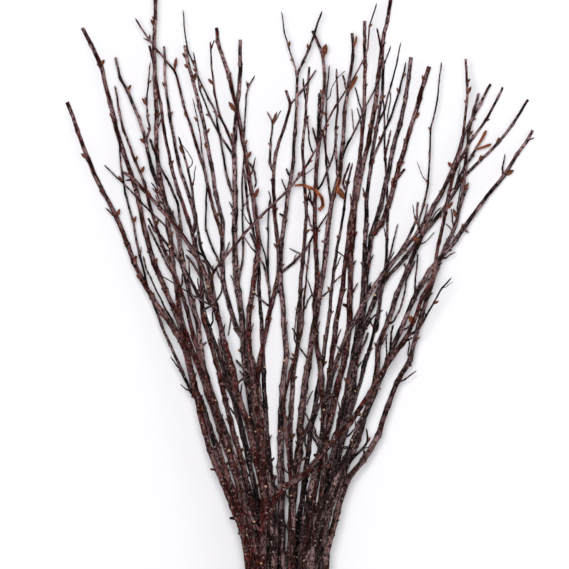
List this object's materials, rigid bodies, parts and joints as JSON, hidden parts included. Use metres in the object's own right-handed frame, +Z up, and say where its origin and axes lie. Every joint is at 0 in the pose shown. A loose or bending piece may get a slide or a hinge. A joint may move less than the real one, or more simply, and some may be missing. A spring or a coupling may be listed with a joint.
{
  "type": "bunch of birch branches",
  "caption": "Bunch of bare, cut birch branches lying flat, cut ends together and budded tips fanned out, with side twigs, knots and catkins.",
  "frame": {"origin": "on the table under the middle of the bunch's bounding box", "axes": "+Y from the cut ends to the tips, +X across the fan of branches, +Z up from the table"},
  "size_m": [0.321, 0.4532, 0.0602],
  "materials": {
    "red_bark": "satin",
    "dark_bark": "satin",
    "grey_bark": "matte",
    "brown_bark": "satin"
  },
  "bodies": {
    "root": {"low_left_stem": "dark_bark", "low_right_stem": "dark_bark", "core_stem": "dark_bark", "back_stem": "dark_bark", "left_dark_stem": "dark_bark", "middle_brown_stem": "brown_bark", "right_wand": "dark_bark", "left_inner_stem": "red_bark", "tall_red_stem": "red_bark", "right_dark_stem": "dark_bark", "left_centre_stem": "grey_bark", "red_centre_stem": "red_bark", "budded_stem": "red_bark", "left_top_stem": "red_bark", "grey_centre_stem": "grey_bark", "black_stem": "dark_bark", "tall_right_stem": "red_bark", "middle_grey_stem": "grey_bark", "right_slanting_stem": "grey_bark", "right_fine_stem": "dark_bark", "peeling_stem": "brown_bark", "right_main_stem": "brown_bark", "left_grey_stem": "grey_bark", "left_red_stem": "red_bark", "outer_right_stem": "brown_bark", "left_tall_stem": "red_bark", "far_right_stem": "grey_bark", "pink_stem": "red_bark", "slim_red_stem": "red_bark", "broken_stem": "brown_bark", "short_cut_stem": "brown_bark", "forked_cut_stem": "grey_bark", "outer_left_stem": "dark_bark", "far_left_stem": "red_bark", "forked_red_stem": "red_bark", "red_diagonal": "red_bark", "fine_diagonal": "red_bark", "right_spike": "dark_bark", "left_grey_twig": "grey_bark", "left_inner_twig": "grey_bark", "grey_long_twig": "dark_bark", "grey_mid_twig": "dark_bark", "grey_top_twig": "red_bark", "grey_inner_twig": "dark_bark", "angled_branch": "red_bark", "pale_twig": "grey_bark", "centre_fork": "brown_bark", "beige_diagonal": "brown_bark", "centre_dark_twig": "dark_bark", "middle_top_twig": "grey_bark", "pale_peeling_twig": "grey_bark", "dark_crossing_twig": "dark_bark", "inner_peeling_twig": "dark_bark", "right_dark_twig": "dark_bark", "right_upper_twig": "dark_bark", "black_side_branch": "red_bark", "right_hair_twig": "dark_bark", "catkin_twig": "dark_bark", "crossed_twig": "dark_bark"}
  },
  "joints": []
}
